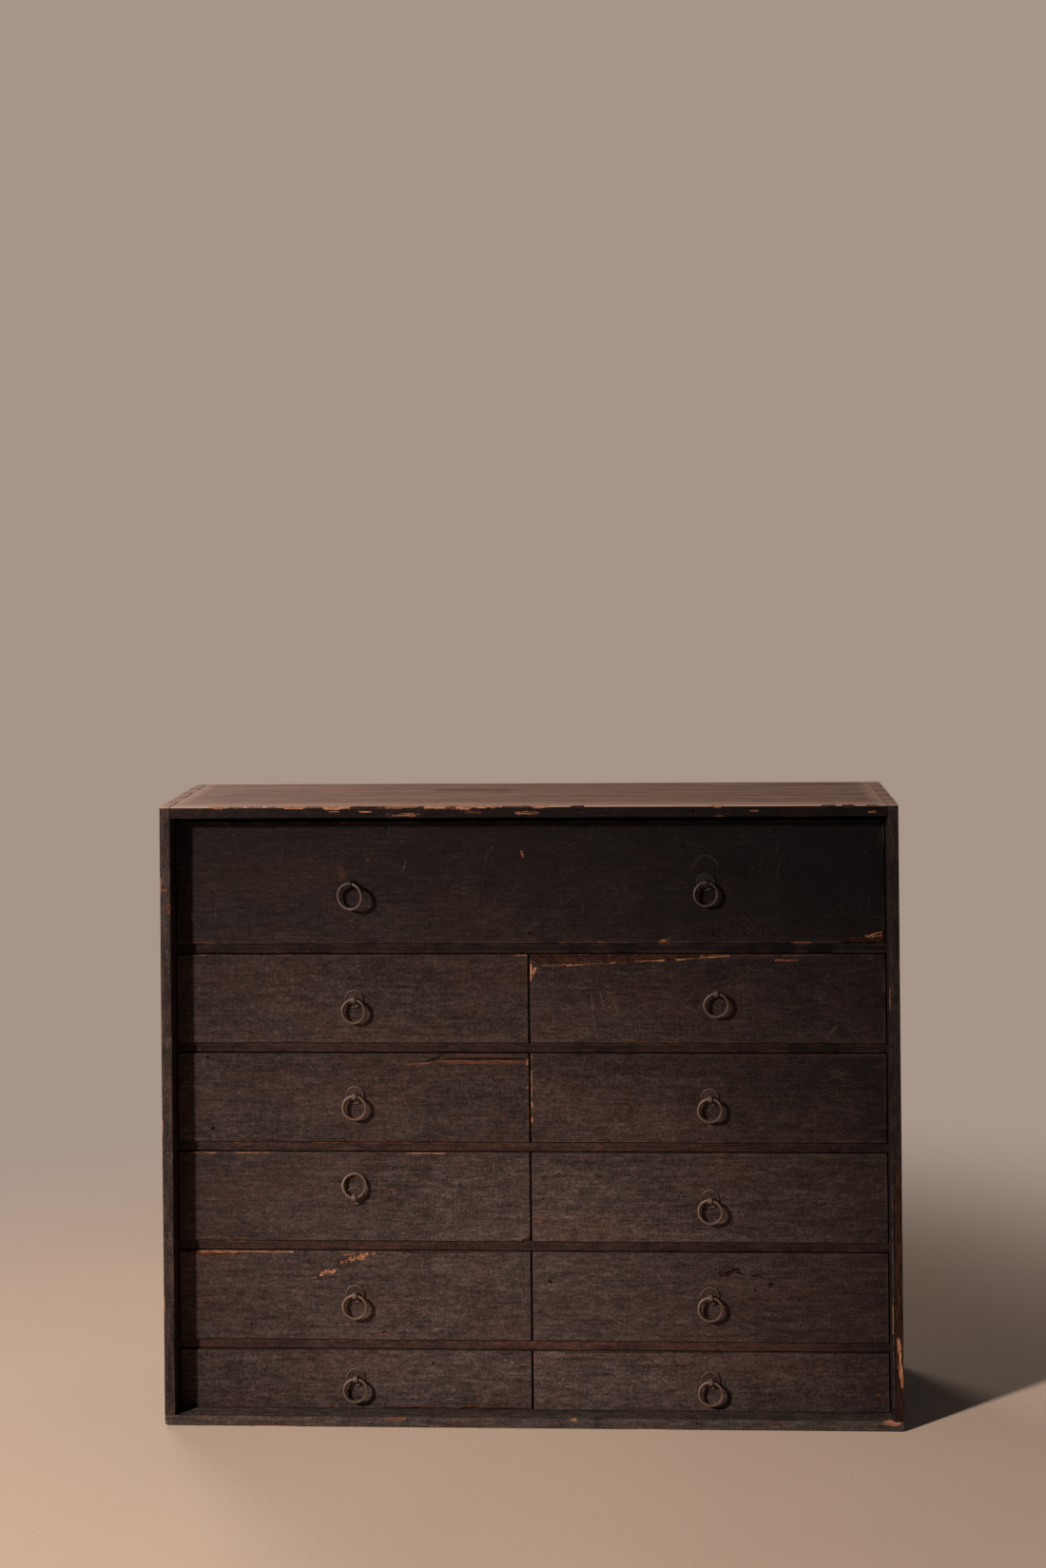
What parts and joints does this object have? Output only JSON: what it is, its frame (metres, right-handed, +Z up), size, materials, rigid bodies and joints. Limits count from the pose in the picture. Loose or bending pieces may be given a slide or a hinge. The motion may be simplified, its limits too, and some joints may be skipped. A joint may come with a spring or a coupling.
{
  "type": "small chest of drawers",
  "caption": "Small open-fronted wooden chest: a wide drawer over rows of paired drawers that slide between thin rails, each pulled by a hanging iron ring.",
  "frame": {"origin": "on the floor under the middle of the case", "axes": "+Z up, the drawers open towards -Y, +X to the right of a person facing the drawers"},
  "size_m": [0.742, 0.212, 0.624],
  "materials": {
    "case_wood": "dark brown stain, worn dull, with bare wood at the edges",
    "top_wood": "purplish brown stain, rubbed pale along the edges",
    "rail_wood": "reddish brown stain, dull",
    "front_wood": "near-black stain with fine grain, dull",
    "bare_wood": "unfinished softwood darkened with age",
    "bamboo": "bare bamboo",
    "eye_iron": "dark rust-brown wrought iron",
    "ring_iron": "brown wrought iron, rubbed"
  },
  "bodies": {
    "case": {"case_top": "top_wood", "case_bottom": "case_wood", "side_left": "case_wood", "side_right": "case_wood", "back_boards": "bare_wood", "rail_1": "rail_wood", "rail_2": "rail_wood", "rail_3": "rail_wood", "rail_4": "rail_wood", "rail_5": "rail_wood", "shelf_boards": "bare_wood", "partitions": "bare_wood", "corner_pegs": "bamboo", "back_pegs": "bamboo"},
    "drawer_1": {"drawer_1_front": "front_wood", "drawer_1_box": "bare_wood", "drawer_1_eye": "eye_iron"},
    "drawer_2_left": {"drawer_2_left_front": "front_wood", "drawer_2_left_box": "bare_wood", "drawer_2_left_eye": "eye_iron"},
    "drawer_2_right": {"drawer_2_right_front": "front_wood", "drawer_2_right_box": "bare_wood", "drawer_2_right_eye": "eye_iron"},
    "drawer_3_left": {"drawer_3_left_front": "front_wood", "drawer_3_left_box": "bare_wood", "drawer_3_left_eye": "eye_iron"},
    "drawer_3_right": {"drawer_3_right_front": "front_wood", "drawer_3_right_box": "bare_wood", "drawer_3_right_eye": "eye_iron"},
    "drawer_4_left": {"drawer_4_left_front": "front_wood", "drawer_4_left_box": "bare_wood", "drawer_4_left_eye": "eye_iron"},
    "drawer_4_right": {"drawer_4_right_front": "front_wood", "drawer_4_right_box": "bare_wood", "drawer_4_right_eye": "eye_iron"},
    "drawer_5_left": {"drawer_5_left_front": "front_wood", "drawer_5_left_box": "bare_wood", "drawer_5_left_eye": "eye_iron"},
    "drawer_5_right": {"drawer_5_right_front": "front_wood", "drawer_5_right_box": "bare_wood", "drawer_5_right_eye": "eye_iron"},
    "drawer_6_left": {"drawer_6_left_front": "front_wood", "drawer_6_left_box": "bare_wood", "drawer_6_left_eye": "eye_iron"},
    "drawer_6_right": {"drawer_6_right_front": "front_wood", "drawer_6_right_box": "bare_wood", "drawer_6_right_eye": "eye_iron"},
    "ring_1_left": {"ring_1_left": "ring_iron"},
    "ring_1_right": {"ring_1_right": "ring_iron"},
    "ring_2_left": {"ring_2_left": "ring_iron"},
    "ring_2_right": {"ring_2_right": "ring_iron"},
    "ring_3_left": {"ring_3_left": "ring_iron"},
    "ring_3_right": {"ring_3_right": "ring_iron"},
    "ring_4_left": {"ring_4_left": "ring_iron"},
    "ring_4_right": {"ring_4_right": "ring_iron"},
    "ring_5_left": {"ring_5_left": "ring_iron"},
    "ring_5_right": {"ring_5_right": "ring_iron"},
    "ring_6_left": {"ring_6_left": "ring_iron"},
    "ring_6_right": {"ring_6_right": "ring_iron"}
  },
  "joints": [
    {"name": "drawer_1_slide", "type": "slide", "parent": "case", "child": "drawer_1", "axis": [0, -1, 0], "range_m": [0, 0.14]},
    {"name": "drawer_2_left_slide", "type": "slide", "parent": "case", "child": "drawer_2_left", "axis": [0, -1, 0], "range_m": [0, 0.14]},
    {"name": "drawer_2_right_slide", "type": "slide", "parent": "case", "child": "drawer_2_right", "axis": [0, -1, 0], "range_m": [0, 0.14]},
    {"name": "drawer_3_left_slide", "type": "slide", "parent": "case", "child": "drawer_3_left", "axis": [0, -1, 0], "range_m": [0, 0.14]},
    {"name": "drawer_3_right_slide", "type": "slide", "parent": "case", "child": "drawer_3_right", "axis": [0, -1, 0], "range_m": [0, 0.14]},
    {"name": "drawer_4_left_slide", "type": "slide", "parent": "case", "child": "drawer_4_left", "axis": [0, -1, 0], "range_m": [0, 0.14]},
    {"name": "drawer_4_right_slide", "type": "slide", "parent": "case", "child": "drawer_4_right", "axis": [0, -1, 0], "range_m": [0, 0.14]},
    {"name": "drawer_5_left_slide", "type": "slide", "parent": "case", "child": "drawer_5_left", "axis": [0, -1, 0], "range_m": [0, 0.14]},
    {"name": "drawer_5_right_slide", "type": "slide", "parent": "case", "child": "drawer_5_right", "axis": [0, -1, 0], "range_m": [0, 0.14]},
    {"name": "drawer_6_left_slide", "type": "slide", "parent": "case", "child": "drawer_6_left", "axis": [0, -1, 0], "range_m": [0, 0.14]},
    {"name": "drawer_6_right_slide", "type": "slide", "parent": "case", "child": "drawer_6_right", "axis": [0, -1, 0], "range_m": [0, 0.14]},
    {"name": "ring_1_left_swing", "type": "hinge", "parent": "drawer_1", "child": "ring_1_left", "pos_m": [-0.18, -0.09199, 0.54385], "axis": [-0.9511, 0.309, 0], "range_deg": [-14.5, 194.5]},
    {"name": "ring_1_right_swing", "type": "hinge", "parent": "drawer_1", "child": "ring_1_right", "pos_m": [0.17928, -0.0885, 0.54385], "axis": [-1, 0, 0], "range_deg": [-11.1, 191.1]},
    {"name": "ring_2_left_swing", "type": "hinge", "parent": "drawer_2_left", "child": "ring_2_left", "pos_m": [-0.17784, -0.0885, 0.42595], "axis": [-1, 0, 0], "range_deg": [-11.1, 191.1]},
    {"name": "ring_2_right_swing", "type": "hinge", "parent": "drawer_2_right", "child": "ring_2_right", "pos_m": [0.18864, -0.0885, 0.43222], "axis": [-1, 0, 0], "range_deg": [-11.1, 191.1]},
    {"name": "ring_3_left_swing", "type": "hinge", "parent": "drawer_3_left", "child": "ring_3_left", "pos_m": [-0.17784, -0.0885, 0.32823], "axis": [-1, 0, 0], "range_deg": [-11.1, 191.1]},
    {"name": "ring_3_right_swing", "type": "hinge", "parent": "drawer_3_right", "child": "ring_3_right", "pos_m": [0.18144, -0.0885, 0.32644], "axis": [-1, 0, 0], "range_deg": [-11.1, 191.1]},
    {"name": "ring_4_left_swing", "type": "hinge", "parent": "drawer_4_left", "child": "ring_4_left", "pos_m": [-0.17892, -0.0885, 0.22604], "axis": [-1, 0, 0], "range_deg": [-202.2, 0]},
    {"name": "ring_4_right_swing", "type": "hinge", "parent": "drawer_4_right", "child": "ring_4_right", "pos_m": [0.18072, -0.0885, 0.22426], "axis": [-1, 0, 0], "range_deg": [-11.1, 191.1]},
    {"name": "ring_5_left_swing", "type": "hinge", "parent": "drawer_5_left", "child": "ring_5_left", "pos_m": [-0.17928, -0.0885, 0.12654], "axis": [-1, 0, 0], "range_deg": [-11.1, 191.1]},
    {"name": "ring_5_right_swing", "type": "hinge", "parent": "drawer_5_right", "child": "ring_5_right", "pos_m": [0.18, -0.0885, 0.12654], "axis": [-1, 0, 0], "range_deg": [-11.1, 191.1]},
    {"name": "ring_6_left_swing", "type": "hinge", "parent": "drawer_6_left", "child": "ring_6_left", "pos_m": [-0.17928, -0.0885, 0.04205], "axis": [-1, 0, 0], "range_deg": [-11.1, 191.1]},
    {"name": "ring_6_right_swing", "type": "hinge", "parent": "drawer_6_right", "child": "ring_6_right", "pos_m": [0.17964, -0.0885, 0.04146], "axis": [-1, 0, 0], "range_deg": [-11.1, 191.1]}
  ]
}
